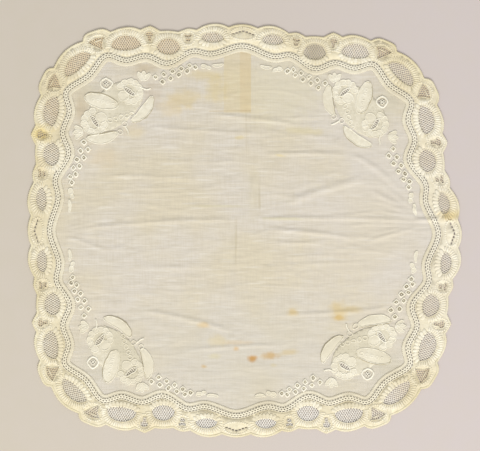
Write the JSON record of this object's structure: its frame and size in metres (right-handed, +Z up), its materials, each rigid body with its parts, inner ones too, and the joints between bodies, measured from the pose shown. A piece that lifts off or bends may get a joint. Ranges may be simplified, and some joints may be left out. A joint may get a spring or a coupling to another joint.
{
  "type": "lace handkerchief",
  "caption": "Square sheer linen handkerchief with rounded corners, raised corner sprays, a wavy pierced band and a scalloped lace edging, lying open and flat.",
  "frame": {"origin": "middle of the whole cloth's box, at the height of the surface that it lies on", "axes": "+Z up off the surface, +Y towards the top side of the cloth in the picture, +X towards its right side"},
  "size_m": [0.3798, 0.3616, 0.0033],
  "materials": {
    "linen": "fine plain weave, sheer, aged ivory",
    "footing": "pierced bobbin band, cream",
    "lace": "dense needle lace with net fillings, cream"
  },
  "bodies": {
    "root": {"linen_panel": "linen", "footing_band": "footing", "lace_edging": "lace"}
  },
  "joints": []
}
